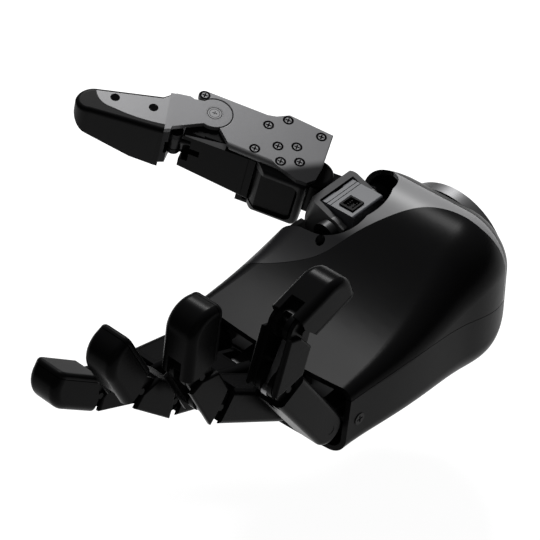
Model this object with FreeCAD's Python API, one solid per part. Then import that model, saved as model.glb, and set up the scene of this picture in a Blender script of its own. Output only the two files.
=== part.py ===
import FreeCAD
import Part
import math
import os

os.makedirs("parts", exist_ok=True)
V = FreeCAD.Vector

# Sizes of the palm, in mm
palm_end_x = -14.0
palm_front_x = 113.0
front_lean = 5.0
shell_wall = 2.6
seam_gap = 0.35
knuckle_z = 0.0

# Sizes of one finger, in mm and degrees
proximal_length = 50.0
middle_length = 26.0
tip_length = 31.0
finger_width = 17.0
proximal_height = 16.5
middle_radius = 7.5
lug_radius = 6.2
cheek_thick = 1.9
channel_depth = 8.0
tip_height = 17.0
nose_radius = 12.0
tongue_width = 8.4
slot_width = 9.2
tongue_radius = 6.4
knuckle_lug_radius = 5.2
pin_radius = 1.5
knuckle_pin_radius = 2.0
running_fit = 0.05
link_offset = 4.0
link_thick = 3.0
link_pin_radius = 1.0
link_play = 0.8
link_lean = 1.15
curl_ratio = 0.9

# Place and rest bend of each knuckle
knuckles = {
    "index": (palm_front_x + 2.5, -34.5, 14.2),
    "middle": (palm_front_x + 8.0, -11.5, 24.5),
    "ring": (palm_front_x + 9.0, 11.5, 36.0),
    "little": (palm_front_x + 7.5, 34.5, 59.0),
}

# Sizes of the thumb, in mm and degrees
turn_axis_y = -34.0
turn_axis_z = 14.0
drum_x0 = 2.5
drum_x1 = 32.5
drum_radius = 17.5
drum_wall = 3.0
turn_pin_radius = 2.5
turn_post_radius = 6.0
thumb_top = V(14.4, -53.3, 34.5)
plate_thick = 2.5
plate_gap = 0.35
bend_l = 17.25
bend_w = 4.3
bend_radius = 14.6
pivot_l = 57.1
pivot_w = -3.8
fork_radius = 8.4
thumb_rest_bend = 11.0
arm_depth_front = 27.7
arm_depth_root = 34.2
plate_lug_radius = 9.4
rod_lever = 18.4
rod_lever_angle = 29.4
rod_length = 18.0
screw_head_radius = 2.35

# Size of the wrist flange
flange_radius = 31.5
flange_thick = 6.0
bolt_circle = 50.0
bolt_hole = 5.0
pilot_radius = 15.75

# The part is moved so the outer face of the flange is centred on the origin
wrist_y = -1.0
wrist_z = -6.0
SHIFT = V(-(palm_end_x - flange_thick + 2.0), -wrist_y, -wrist_z)

X = V(1, 0, 0)
Y = V(0, 1, 0)
Z = V(0, 0, 1)


def out(name, shape):
    s = shape.copy()
    s.translate(SHIFT)
    s.exportStep("parts/" + name + ".step")


def box(x0, x1, y0, y1, z0, z1):
    return Part.makeBox(x1 - x0, y1 - y0, z1 - z0, V(x0, y0, z0))


def cyl(r, p, d, h):
    return Part.makeCylinder(r, h, p, d)


def ycyl(r, x, z, y0, y1):
    return cyl(r, V(x, y0, z), Y, y1 - y0)


def joined(shapes):
    s = shapes[0].multiFuse(shapes[1:]) if len(shapes) > 1 else shapes[0]
    return s.removeSplitter()


def softened(shape, r, pick):
    edges = [e for e in shape.Edges if pick(e)]
    while r > 0.25:
        try:
            s = shape.makeFillet(r, edges)
            if s.isValid() and s.Volume > 0:
                return s
        except Exception:
            pass
        r = r * 0.7
    return shape


def along(e, d):
    a = e.tangentAt(e.FirstParameter)
    b = e.tangentAt(e.LastParameter)
    return abs(a.dot(d)) > 0.98 and abs(b.dot(d)) > 0.98


def face_of(points, arcs=()):
    n = len(points)
    edges = []
    mids = dict(arcs)
    for i in range(n):
        a = points[i]
        b = points[(i + 1) % n]
        if i in mids:
            edges.append(Part.Arc(a, mids[i], b).toShape())
        else:
            edges.append(Part.makeLine(a, b))
    return Part.Face(Part.Wire(edges))


def rounded_face(y0, y1, z0, z1, r_top, r_low, x):
    k = math.sqrt(0.5)
    pts = [V(x, y0 + r_low, z0), V(x, y1 - r_low, z0), V(x, y1, z0 + r_low), V(x, y1, z1 - r_top)]
    pts += [V(x, y1 - r_top, z1), V(x, y0 + r_top, z1), V(x, y0, z1 - r_top), V(x, y0, z0 + r_low)]
    a = r_low * (1 - k)
    b = r_top * (1 - k)
    mids = {1: V(x, y1 - a, z0 + a), 3: V(x, y1 - b, z1 - b)}
    mids[5] = V(x, y0 + b, z1 - b)
    mids[7] = V(x, y0 + a, z0 + a)
    return face_of(pts, mids.items())


# Palm skin sections: place, side edges, under and upper face, corner radii
palm_sections = (
    (palm_end_x, -35.0, 33.0, -33.0, 21.5, 22.0, 22.0),
    (palm_end_x + 8.0, -43.0, 40.0, -38.0, 30.0, 23.0, 21.0),
    (palm_end_x + 22.0, -48.0, 46.0, -38.5, 36.0, 23.0, 18.0),
    (palm_end_x + 44.0, -51.5, 46.5, -35.0, 31.5, 20.0, 16.0),
    (palm_end_x + 72.0, -52.0, 46.5, -29.5, 21.0, 14.0, 13.0),
    (palm_end_x + 102.0, -49.0, 46.0, -23.5, 16.0, 8.0, 10.0),
    (palm_front_x + 12.0, -47.5, 46.0, -18.5, 14.5, 6.0, 7.0),
)


def palm_loft(inset, x_from, x_to):
    wires = []
    for x, y0, y1, z0, z1, rt, rl in palm_sections:
        f = rounded_face(y0 + inset, y1 - inset, z0 + inset, z1 - inset, rt - inset, rl - inset, x)
        wires.append(f.OuterWire)
    solid = Part.makeLoft(wires, True, False)
    return solid.common(box(x_from, x_to, -80, 80, -80, 80))


# Front of the palm: a leaning face that bows forward at the middle finger
def front_cutter(extra):
    x = palm_front_x + extra
    y0 = -60.0
    y1 = 60.0
    z0 = -40.0
    pts = [V(x - 3.0, y0, z0), V(x - 4.0, y1, z0), V(x + 60.0, y1, z0), V(x + 60.0, y0, z0)]
    f = face_of(pts, ((0, V(x + 2.0, -8.0, z0)),))
    f.translate(V(front_lean * 1.2, 0, 0))
    return f.extrude(V(-front_lean * 2.4, 0, 80.0))


front = front_cutter(0.0)
outer = palm_loft(0.0, palm_end_x, palm_front_x + 12.0).cut(front)
inner = palm_loft(shell_wall, palm_end_x + shell_wall, palm_front_x + 12.0)
wrist_hole = cyl(flange_radius + 0.2, V(palm_end_x - 5, wrist_y, wrist_z), X, 12.0)
skin = outer.cut(inner).cut(wrist_hole)

# Opening of the thumb base and room for the drum that turns in it
opening_pts = [V(-2, -33, 0), V(12, -14.5, 0), V(30, -14.5, 0), V(49, -33, 0), V(52, -70, 0), V(-4, -70, 0)]
opening_mids = ((0, V(1.5, -20, 0)), (1, V(21, -12, 0)), (2, V(43.5, -20, 0)))
opening = face_of(opening_pts, opening_mids)
opening.translate(V(0, 0, 12.0))
opening = opening.extrude(V(0, 0, 50.0))
drum_room = cyl(drum_radius + 0.9, V(drum_x0 - 1.2, turn_axis_y, turn_axis_z), X, drum_x1 - drum_x0 + 2.4)
skin = skin.cut(opening.fuse(drum_room))

# Seam along the sides: above it the palm cover and thumb shell, below it the back shell
seam_x = (palm_end_x - 10.0, palm_end_x + 14.0, palm_end_x + 52.0, palm_end_x + 86.0, palm_front_x + 20.0)
seam_z = (-14.0, -7.0, 3.7, 8.2, 12.0)


def seam_solid(lift, up):
    pts = [V(x, -90, z + lift) for x, z in zip(seam_x, seam_z)]
    curve = Part.BSplineCurve()
    curve.interpolate(pts)
    far = 90.0 if up else -90.0
    a = pts[0]
    b = pts[-1]
    edges = [curve.toShape(), Part.makeLine(b, V(b.x, b.y, far))]
    edges.append(Part.makeLine(V(b.x, b.y, far), V(a.x, a.y, far)))
    edges.append(Part.makeLine(V(a.x, a.y, far), a))
    return Part.Face(Part.Wire(edges)).extrude(V(0, 180, 0))


above = seam_solid(seam_gap / 2, True)
below = seam_solid(-seam_gap / 2, False)

# Edge of the palm cover seen from above, with the thumb shell on its other side
cover_line = (V(84, -70, 0), V(76.5, -42, 0), V(65, -27.5, 0), V(57.5, -21, 0), V(40.5, -14, 0))
cover_line += (V(23, -3.5, 0), V(10.5, 7.5, 0), V(6, 17, 0), V(5, 32, 0), V(1, 43, 0), V(-2, 70, 0))


def cover_solid(shift):
    pts = [p + V(shift, 0, 0) for p in cover_line]
    curve = Part.BSplineCurve()
    curve.interpolate(pts)
    a = pts[0]
    b = pts[-1]
    edges = [curve.toShape(), Part.makeLine(b, V(200, 70, 0)), Part.makeLine(V(200, 70, 0), V(200, -70, 0))]
    edges.append(Part.makeLine(V(200, -70, 0), a))
    f = Part.Face(Part.Wire(edges))
    f.translate(V(0, 0, -60))
    return f.extrude(V(0, 0, 140))


cover_zone = cover_solid(seam_gap / 2)
thumb_zone = box(-60, 200, -90, 90, -60, 80).cut(cover_solid(-seam_gap / 2))
hole_at = V(50.2, -25.3, 23.6)
hole_axis = V(-0.32, -0.36, 0.87)
cover_hole = cyl(2.3, hole_at - hole_axis * 8.0, hole_axis, 16.0)
palm_cover = skin.common(above).common(cover_zone)
thenar_shell = skin.common(above).common(thumb_zone)
cap_x = palm_end_x + 12.5
cap_room = box(palm_end_x - 1, cap_x + seam_gap / 2, -80, 80, -80, 80)
thenar_shell = thenar_shell.cut(cap_room)
palm_cover = palm_cover.cut(cap_room)
wrist_cap = skin.common(box(palm_end_x - 1, cap_x - seam_gap / 2, -80, 80, -80, 80))
back_shell = skin.common(below).cut(cap_room)


def biggest(shape):
    return max(shape.Solids, key=lambda s: s.Volume)


palm_cover = biggest(palm_cover)
thenar_shell = biggest(thenar_shell)
wrist_cap = biggest(wrist_cap)
back_shell = biggest(back_shell)

# Openings for screws: one low in the little finger side, a slanted one in the thumb shell
side_screw_x = palm_front_x - 8.5
side_screw_z = -3.5
side_hole = cyl(3.0, V(side_screw_x, 44.0, side_screw_z), Y, 5.0)
side_hole = side_hole.fuse(cyl(1.7, V(side_screw_x, 38.0, side_screw_z), Y, 8.0))
back_shell = back_shell.cut(side_hole)
thenar_shell = thenar_shell.cut(cover_hole)


def screw(p, d, head_r, head_h, shank_r, shank_l):
    d = V(d)
    d.normalize()
    s = cyl(head_r, p - d * head_h, d, head_h)
    s = s.fuse(cyl(shank_r, p - d * (head_h + shank_l), d, shank_l + 0.1))
    u = d.cross(Z) if abs(d.z) < 0.9 else d.cross(X)
    u.normalize()
    w = d.cross(u)
    for a, b in ((u, w), (w, u)):
        c = p - a * (head_r * 0.62) - b * (head_r * 0.13) - d * (head_h * 0.45)
        far = a * (head_r * 1.24)
        wide = b * (head_r * 0.26)
        f = face_of([c, c + far, c + far + wide, c + wide])
        s = s.cut(f.extrude(d * head_h))
    return s


# Dark wear plate under the back of the palm
plate_room = palm_loft(-2.2, 0.0, palm_front_x + 12.0).cut(palm_loft(-0.1, -2.0, palm_front_x + 14.0))
dorsal_plate = plate_room.common(box(44.0, palm_front_x - 8.0, -37.0, 37.0, -60.0, -10.0))
dorsal_plate = biggest(dorsal_plate)

# Inner frame: a deck on the centre line, ribs, knuckle lugs and bearings for the thumb drum
deck_z0 = -13.5
deck_z1 = -9.5
bar_x0 = palm_front_x - 19.5
bar_x1 = palm_front_x - 11.0
deck = box(-5.0, bar_x1 + 1.0, -40.0, 40.0, deck_z0, deck_z1)
fitted = palm_loft(shell_wall + 0.15, palm_end_x + 6.0, palm_front_x + 12.0)
front_bar = box(bar_x0, bar_x1, -42.0, 41.5, deck_z0, 6.5).common(fitted)
frame_parts = [deck.common(fitted), front_bar]
for name, (kx, ky, rest) in knuckles.items():
    h = tongue_width / 2
    lug = ycyl(knuckle_lug_radius, kx, knuckle_z, ky - h, ky + h)
    neck = box(bar_x1 - 2.0, kx, ky - h, ky + h, -3.9, 3.9)
    frame_parts.append(lug.fuse(neck))
for x0 in (drum_x0 - 5.6, drum_x1 + 1.4):
    post_y0 = turn_axis_y - turn_post_radius
    post = box(x0, x0 + 4.2, post_y0, turn_axis_y + 15.0, deck_z0, turn_axis_z - 4.0)
    post = post.fuse(box(x0, x0 + 4.2, post_y0, turn_axis_y + turn_post_radius, deck_z0, turn_axis_z))
    post = post.fuse(cyl(turn_post_radius, V(x0, turn_axis_y, turn_axis_z), X, 4.2))
    frame_parts.append(post.common(fitted))
rib = box(-5.0, 92.0, -2.0, 2.0, -60.0, deck_z1).common(palm_loft(shell_wall + 0.15, -5.0, 92.0))
frame_parts.append(rib)
hub_wall = cyl(flange_radius - 4.0, V(palm_end_x + 4.0, wrist_y, wrist_z), X, 6.0)
frame_parts.append(hub_wall)
palm_frame = joined(frame_parts)
for name, (kx, ky, rest) in knuckles.items():
    palm_frame = palm_frame.cut(ycyl(knuckle_pin_radius, kx, knuckle_z, ky - 8, ky + 8))
turn_bore = cyl(turn_pin_radius, V(drum_x0 - 12, turn_axis_y, turn_axis_z), X, drum_x1 - drum_x0 + 24)
palm_frame = palm_frame.cut(turn_bore)
drum_clear = cyl(drum_radius + 0.6, V(drum_x0 - 0.9, turn_axis_y, turn_axis_z), X, drum_x1 - drum_x0 + 1.8)
palm_frame = palm_frame.cut(drum_clear)

# Wrist flange with its bolt circle and pilot bore
flange_x0 = palm_end_x - flange_thick + 2.0
wrist_flange = cyl(flange_radius, V(flange_x0, wrist_y, wrist_z), X, flange_thick)
step_at = V(flange_x0 + flange_thick, wrist_y, wrist_z)
wrist_flange = wrist_flange.fuse(cyl(flange_radius - 5.0, step_at, X, 2.0))
wrist_flange = wrist_flange.cut(cyl(pilot_radius, V(flange_x0 - 1, wrist_y, wrist_z), X, 5.0))
wrist_flange = wrist_flange.cut(cyl(9.0, V(flange_x0 - 1, wrist_y, wrist_z), X, 12.0))
for i in range(4):
    a = math.radians(45 + 90 * i)
    p = V(flange_x0 - 1, wrist_y + bolt_circle / 2 * math.cos(a), wrist_z + bolt_circle / 2 * math.sin(a))
    wrist_flange = wrist_flange.cut(cyl(bolt_hole / 2, p, X, 12.0))
palm_frame = palm_frame.cut(cyl(8.0, V(palm_end_x, wrist_y, wrist_z), X, 14.0))

# Knuckle pins, held in the lugs
pins = []
for name, (kx, ky, rest) in knuckles.items():
    h = finger_width / 2 - 0.15
    pins.append(ycyl(knuckle_pin_radius, kx, knuckle_z, ky - h, ky + h))
knuckle_pins = Part.makeCompound(pins)

# Four finger motors lying on the deck and the control board under it
motor_list = []
for name, (kx, ky, rest) in knuckles.items():
    can_y = ky * 0.62 + 8.0
    can = cyl(5.6, V(bar_x0 - 38.5, can_y, deck_z1 + 5.6), X, 30.0)
    gear = box(bar_x0 - 8.5, bar_x0 - 0.3, can_y - 5.6, can_y + 5.6, deck_z1, deck_z1 + 11.2)
    motor_list.append(can.fuse(gear))
finger_motors = Part.makeCompound(motor_list)
control_board = box(6.0, 88.0, 6.0, 34.0, deck_z0 - 3.6, deck_z0 - 2.0)
for x in (12.0, 82.0):
    for y in (10.0, 30.0):
        control_board = control_board.fuse(cyl(2.2, V(x, y, deck_z0 - 2.0), Z, 2.0))
for x0, x1, y0, y1 in ((20, 34, 14, 26), (44, 54, 12, 20), (62, 76, 16, 28)):
    control_board = control_board.fuse(box(x0, x1, y0, y1, deck_z0 - 5.4, deck_z0 - 3.6))
control_board = control_board.removeSplitter()

# Thumb turning motor, fixed between the posts inside the drum
motor_x0 = drum_x0 + 4.2
motor_x1 = drum_x1 - 4.2
m = 9.8
motor_top = turn_axis_z + m
turn_motor = box(motor_x0, motor_x1, turn_axis_y - m, turn_axis_y + m, turn_axis_z - m, turn_axis_z + m)
turn_motor = softened(turn_motor, 1.2, lambda e: along(e, X))
socket = box(17.0, 25.5, turn_axis_y - 1.5, turn_axis_y + 7.0, motor_top - 2.2, motor_top + 2.2)
for y in (turn_axis_y - 6.4, turn_axis_y - 4.2):
    turn_motor = turn_motor.cut(box(motor_x0 - 1, motor_x1 + 1, y - 0.2, y + 0.2, motor_top - 0.4, 40))
turn_motor = turn_motor.cut(socket)
notch = box(motor_x0 + 7, motor_x0 + 13, turn_axis_y - m - 1, turn_axis_y - m + 1.2, motor_top - 1.6, 40)
turn_motor = turn_motor.cut(notch)
arm = box(motor_x0 + 2, motor_x1 - 2, turn_axis_y + m - 1, turn_axis_y + m + 6.0, deck_z1 - 1.0, turn_axis_z)
arm = arm.cut(box(-99, 99, -99, 99, -99, deck_z1))
turn_motor = turn_motor.fuse(arm).removeSplitter()
connector = box(17.1, 25.4, turn_axis_y - 1.4, turn_axis_y + 6.9, motor_top - 2.1, motor_top + 0.9)
connector = connector.cut(box(18.1, 24.4, turn_axis_y - 0.4, turn_axis_y + 5.9, motor_top - 1.0, 40))
pin_rows = []
for i in range(4):
    for j in range(2):
        px = 19.2 + 1.4 * i
        py = turn_axis_y + 1.2 + 3.0 * j
        pin_rows.append(box(px, px + 0.6, py, py + 0.6, motor_top - 1.1, motor_top + 0.4))
connector = connector.multiFuse(pin_rows)

# Drum yoke: two discs joined by a curved wall round the motor
yoke = cyl(drum_radius, V(drum_x0, turn_axis_y, turn_axis_z), X, drum_x1 - drum_x0)
bore = cyl(drum_radius - drum_wall, V(drum_x0 + 3.0, turn_axis_y, turn_axis_z), X, drum_x1 - drum_x0 - 6.0)
yoke = yoke.cut(bore)
rim_tilt = 22.0
open_side = box(-60, 120, -60, 60, 6.0, 60)
open_side.rotate(V(0, 0, 0), X, -rim_tilt)
open_side.translate(V(0, turn_axis_y, turn_axis_z))
inner_side = box(-60, 120, 5.5, 60, -60, 60)
inner_side.rotate(V(0, 0, 0), X, -rim_tilt)
inner_side.translate(V(0, turn_axis_y, turn_axis_z))
rounded = box(drum_x0, drum_x1, -drum_radius, 60.0, -60.0, 60.0)
rounded = softened(rounded, 5.0, lambda e: along(e, Z) and e.CenterOfMass.y < 0)
rounded.rotate(V(0, 0, 0), X, -rim_tilt)
rounded.translate(V(0, turn_axis_y, turn_axis_z))
yoke = yoke.cut(open_side).cut(inner_side).common(rounded)
yoke = biggest(yoke)
for x0 in (drum_x0, drum_x1 - 3.0):
    yoke = yoke.fuse(cyl(6.5, V(x0, turn_axis_y, turn_axis_z), X, 3.0))
yoke = yoke.cut(cyl(turn_pin_radius, V(drum_x0 - 5, turn_axis_y, turn_axis_z), X, 60))
thumb_yoke = yoke.removeSplitter()
turn_pins = []
for x0, x1 in ((drum_x0 - 5.4, drum_x0 + 3.8), (drum_x1 - 3.8, drum_x1 + 5.4)):
    turn_pins.append(cyl(turn_pin_radius - running_fit, V(x0, turn_axis_y, turn_axis_z), X, x1 - x0))
turn_pins = Part.makeCompound(turn_pins)

# Thumb frame: along the thumb, across it towards the palm, and out of its flat plate
L = V(0.447, -0.859, 0.25)
L.normalize()
P0 = V(0.036, 0.297, 0.952)
W = P0.cross(L)
W.normalize()
P = L.cross(W)
if P.z < 0:
    P = P * -1.0
T = thumb_top


def thumb_matrix():
    m4 = FreeCAD.Matrix()
    m4.A11, m4.A12, m4.A13, m4.A14 = L.x, W.x, P.x, T.x
    m4.A21, m4.A22, m4.A23, m4.A24 = L.y, W.y, P.y, T.y
    m4.A31, m4.A32, m4.A33, m4.A34 = L.z, W.z, P.z, T.z
    return m4


THUMB = FreeCAD.Placement(thumb_matrix())


def on_thumb(shape):
    s = shape.copy()
    s.Placement = THUMB.multiply(s.Placement)
    return s


def zcyl(r, x, y, z0, z1):
    return cyl(r, V(x, y, z0), Z, z1 - z0)


def prism(pts, z0, z1, arcs=()):
    f = face_of([V(p[0], p[1], z0) for p in pts], [(i, V(q[0], q[1], z0)) for i, q in arcs])
    return f.extrude(V(0, 0, z1 - z0))


# Root bracket with its window, drum side and round hub
br_top = -plate_thick - plate_gap
br_low = -35.6
root_l0 = 3.5
front_w = 17.0
back_w = -13.0


def arc_l(w, r):
    return bend_l + math.sqrt(r * r - (w - bend_w) ** 2)


bracket_pts = [(root_l0, back_w), (bend_l + 2.0, back_w + 3.0), (arc_l(-6.0, bend_radius), -6.0)]
bracket_pts += [(arc_l(front_w - 0.3, bend_radius), front_w - 0.3), (root_l0, front_w)]
bracket = prism(bracket_pts, br_low, br_top, ((2, (bend_l + bend_radius, bend_w)),))
bracket = softened(bracket, 3.2, lambda e: abs(e.CenterOfMass.y - front_w) < 0.6 and not along(e, Z))


def root_low_edge(e):
    return e.CenterOfMass.x < root_l0 + 0.1 and along(e, Y) and e.CenterOfMass.z < -20


bracket = softened(bracket, 3.6, root_low_edge)
window = box(7.2, 60.0, -10.0, front_w + 5, -32.4, -7.2)
window = softened(window, 4.0, lambda e: along(e, Y) and e.CenterOfMass.x < 10)
bracket = bracket.cut(window)
bracket = bracket.cut(zcyl(6.2, bend_l, bend_w, -8.0, 5.0))
hub = zcyl(8.5, 2.0, 2.5, -29.0, -7.5)
hub = softened(hub, 2.0, lambda e: e.Length > 40)
hub_neck = box(-14.0, 2.0, -3.5, 8.5, -24.0, -11.0)
root_bracket = on_thumb(bracket)
hub_world = on_thumb(hub.fuse(hub_neck)).cut(root_bracket)
hub_world = hub_world.cut(cyl(drum_radius, V(-40, turn_axis_y, turn_axis_z), X, 140))
thumb_hub = biggest(hub_world)
root_motor = box(7.4, 60.0, -9.8, 15.4, -32.2, -7.4)
root_motor = softened(root_motor, 3.8, lambda e: along(e, Y) and e.CenterOfMass.x < 10)
root_motor = root_motor.common(zcyl(bend_radius - 0.4, bend_l, bend_w, -40, 0))
root_motor = root_motor.fuse(zcyl(6.0, bend_l, bend_w, -7.5, br_top - 0.1)).removeSplitter()

# Side plate of the thumb with nine countersunk screws, a rolled lower edge and a flat lug on the bend axis
plate_pts = [(pivot_l + 7.8, -15.3), (33.7, -14.4), (29.5, -15.4), (23.8, -19.0), (0.9, -16.2), (0.2, 5.0)]
plate_pts += [(8.0, 11.0), (20.0, 13.4), (pivot_l - 12.8, 12.1), (pivot_l - 9.7, 8.6), (pivot_l + 7.4, -9.5)]
side_plate = prism(plate_pts, -plate_thick, 0.0, ((10, (pivot_l + 10.8, -12.4)),))
side_plate = side_plate.cut(zcyl(fork_radius + 0.45, pivot_l, pivot_w, -5, 5))
side_plate = biggest(side_plate)
side_plate = softened(side_plate, 2.2, lambda e: e.CenterOfMass.z > -0.01 and e.CenterOfMass.y > 11.6)
side_plate = softened(side_plate, 0.5, lambda e: e.CenterOfMass.z > -0.01 and e.CenterOfMass.y < 3.0)
lug_pts = [(bend_l, bend_w), (0.2, 5.0), (1.2, 13.5), (4.5, 17.2), (9.5, 17.2)]
lug_pts.append((bend_l + 3.25, bend_w + 8.86))
plate_lug = prism(lug_pts, -plate_thick, 0.0).fuse(zcyl(plate_lug_radius, bend_l, bend_w, -plate_thick, 0.0))
side_plate = side_plate.fuse(plate_lug).removeSplitter()
screw_spots = [(pivot_l + 7.8, -12.4), (31.4, -8.4), (23.6, -15.4), (6.0, -12.6), (33.1, 8.2)]
for dl, dw in ((-2.2, -5.9), (6.2, -2.4), (2.3, 5.9), (-6.1, 2.4)):
    screw_spots.append((bend_l + dl, bend_w + dw))
screws = []
for a, b in screw_spots:
    side_plate = side_plate.cut(zcyl(screw_head_radius + 0.35, a, b, -0.9, 1.0))
    side_plate = side_plate.cut(zcyl(1.3, a, b, -5.0, 1.0))
    screws.append(screw(V(a, b, -0.05), Z, screw_head_radius, 0.8, 1.25, 1.5))
plate_screws = Part.makeCompound(screws)

# Black actuator between the plates, with an open pocket for the push rod
act_top = -plate_thick
act_l1 = pivot_l + 9.9
act_w = 12.1
rear_r = bend_radius + 0.7
act_l0 = 26.0
side_pts = [V(act_l0, 0, act_top), V(act_l1, 0, act_top)]
side_pts += [V(act_l1, 0, -arm_depth_front), V(act_l0, 0, -arm_depth_root)]
actuator = face_of(side_pts).extrude(V(0, act_w + 13.4, 0))
actuator.translate(V(0, -13.4, 0))
actuator = actuator.cut(zcyl(rear_r, bend_l, bend_w, -60, 5))
actuator = actuator.cut(box(20, 31.5, -40, -4.0, -60, 5))


def low_side_edge(e):
    return e.CenterOfMass.y > act_w - 0.2 and e.CenterOfMass.z < -28 and e.Length > 12


actuator = softened(actuator, 1.6, low_side_edge)
facet_pts = [V(20, act_w + 0.1, act_top - 1.9), V(20, act_w + 0.1, act_top + 0.1)]
facet_pts.append(V(20, act_w - 2.7, act_top + 0.1))
actuator = actuator.cut(face_of(facet_pts).extrude(V(80, 0, 0)))
actuator = actuator.cut(zcyl(fork_radius + 0.6, pivot_l, pivot_w, -5.0 + 2.1, 5))
fork_space = box(pivot_l, pivot_l + 40, -20, 20, act_top - 0.35, 5)
actuator = actuator.cut(fork_space)
tine_top = -22.9
tine_low = -25.1
low_space = box(pivot_l - 11.6, pivot_l + 40, -30, act_w - 2.5, tine_low - 0.4, tine_top + 0.4)
actuator = actuator.cut(low_space)
rod_c = -14.0
pocket = box(pivot_l - 15.1, pivot_l + 40, 2.3, 10.6, rod_c - 2.6, rod_c + 2.6)
pocket = pocket.fuse(box(pivot_l + 0.4, pivot_l + 40, 5.0, 30.0, rod_c - 2.0, rod_c + 2.0))
pocket = pocket.fuse(box(pivot_l + 5.5, pivot_l + 40, 6.9, 30.0, rod_c - 7.4, rod_c + 7.4))
actuator = actuator.cut(pocket)
seam_cut = box(33.6, 34.0, -30, 30, -60, 5)
core = box(20, 60, -12.6, 11.3, -60, act_top - 0.8)
groove = seam_cut.cut(core)
actuator = actuator.cut(groove)
actuator = biggest(actuator.removeSplitter())
split_l = 36.0
actuator_cap = actuator.common(box(0, split_l, -40, 40, -60, 10))
actuator_body = actuator.common(box(split_l, 90, -40, 40, -60, 10))
actuator_cap = biggest(actuator_cap)
actuator_body = biggest(actuator_body)
actuator_body = actuator_body.cut(zcyl(2.5, pivot_l, pivot_w, -60, 5))

# Lower strap from the actuator under the bracket to the bend axis
strap_r = 6.0
strap_l1 = 36.0
strap_low = br_low - 2.4
strap_top = br_low - 0.35
strap_low_w = bend_w - strap_r
strap_high_w = bend_w + strap_r
strap_pts = [(bend_l, strap_low_w), (strap_l1, strap_low_w), (strap_l1, strap_high_w), (bend_l, strap_high_w)]
strap = prism(strap_pts, strap_low, strap_top)
strap = strap.fuse(zcyl(strap_r, bend_l, bend_w, strap_low, strap_top))
strap = strap.fuse(box(bend_l + bend_radius + 0.9, strap_l1, strap_low_w, strap_high_w, strap_low, -30.0))
strap = strap.cut(actuator_cap).cut(actuator_body)
strap = biggest(strap.removeSplitter())
bend_strap = strap.cut(zcyl(2.0 + running_fit, bend_l, bend_w, -60, 0))
bend_pin = zcyl(2.0, bend_l, bend_w, strap_low - 0.3, -32.6)
root_bracket = on_thumb(bracket.cut(zcyl(2.0, bend_l, bend_w, -60, -32.4)))

# Tip of the thumb, drawn straight and then bent about the pivot
tine_pts = [(0, -6.2), (10.5, -6.2), (12.5, -7.4), (19.5, -7.4), (19.5, 13.4), (4.0, fork_radius - 1.2)]
tine = prism(tine_pts, -plate_thick, 0.0)
tine = tine.fuse(zcyl(fork_radius, 0, 0, -plate_thick, 0.0))
low_pts = [(0, -6.2), (10.5, -6.2), (12.5, -7.4), (19.5, -7.4), (19.5, 7.0), (4.0, 6.2)]
low_tine = prism(low_pts, tine_low, tine_top)
low_tine = low_tine.fuse(zcyl(fork_radius, 0, 0, tine_low, tine_top))
heel = prism([(14.6, -7.4), (22.0, -7.0), (22.0, 15.6), (19.0, 14.8), (18.0, 10.0)], tine_low, 0.0)
inlay_pts = [(22.0, -5.6), (25.2, -3.0), (57.0, 0.3), (48.6, 9.0), (22.0, 13.1)]
inlay_arcs = ((2, (54.8, 5.4)), (3, (36.5, 12.0)))
spine = prism([(22.0, -3.0), (48.0, 1.5), (48.0, 5.5), (22.0, 9.0)], -20.0, -2.4)
fork_l = tine.fuse([low_tine, heel, spine]).removeSplitter()
rod_a = math.radians(rod_lever_angle)
eye = V(rod_lever * math.cos(rod_a), rod_lever * math.sin(rod_a), 0)
eye_slot = box(eye.x - 5.4, eye.x + 4.4, eye.y - 6.0, eye.y + 8.0, -18.0, -10.0)
fork_l = fork_l.cut(eye_slot)
ear_a = zcyl(3.4, eye.x, eye.y, -20.9, -18.0)
ear_b = zcyl(3.4, eye.x, eye.y, -10.0, -7.1)
fork_l = fork_l.fuse([ear_a, ear_b]).removeSplitter()
fork_l = fork_l.cut(zcyl(1.5, eye.x, eye.y, -25.0, -5.0))
fork_l = fork_l.cut(zcyl(2.5 + running_fit, 0, 0, -60, 5))
fork_l = fork_l.cut(zcyl(4.1, 0, 0, -0.8, 5))
tip_fork = biggest(fork_l)
eye_pin = zcyl(1.5, eye.x, eye.y, -20.7, -7.3)

# Grey inlay plate on the tip with two dark holes, and the soft pad round it
inlay = prism(inlay_pts, -2.4, -0.2, inlay_arcs)
inlay = softened(inlay, 0.5, lambda e: e.CenterOfMass.z > -0.25 and e.CenterOfMass.x > 23)
hole_spots = ((28.8, 4.0), (47.4, 2.6))
for a, b in hole_spots:
    inlay = inlay.cut(zcyl(1.9, a, b, -9, 5))
tip_inlay = inlay
pad_pts = [(22.0, -7.2), (25.2, -4.8), (56.0, -1.6), (65.4, 6.4), (58.0, 13.4)]
pad_pts += [(44.0, 14.8), (24.0, 16.8), (22.0, 16.8)]
pad_arcs = ((2, (62.4, 1.0)), (3, (63.8, 11.4)))
pad = prism(pad_pts, -30.0, -0.3, pad_arcs)
side_line = [V(22.0, -30, -26.6), V(36.0, -30, -25.0), V(56.5, -30, -18.0), V(66.0, -30, -6.0)]
side_line += [V(66.0, -30, 1.0), V(22.0, -30, 1.0)]
side_form = face_of(side_line, ((2, V(63.2, -30, -13.2)),)).extrude(V(0, 60, 0))
pad = pad.common(side_form)
pad = softened(pad, 4.2, lambda e: e.CenterOfMass.z < -16.0 and e.CenterOfMass.x > 23.0 and not along(e, Y))
pad = softened(pad, 2.2, lambda e: e.CenterOfMass.z > -0.4 and e.CenterOfMass.x > 23.0)
pad = pad.cut(prism(inlay_pts, -2.4, 5.0, inlay_arcs)).cut(tip_fork)
for a, b in hole_spots:
    pad = pad.cut(zcyl(1.9, a, b, -5.0, 5))
thumb_pad = biggest(pad)

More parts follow.
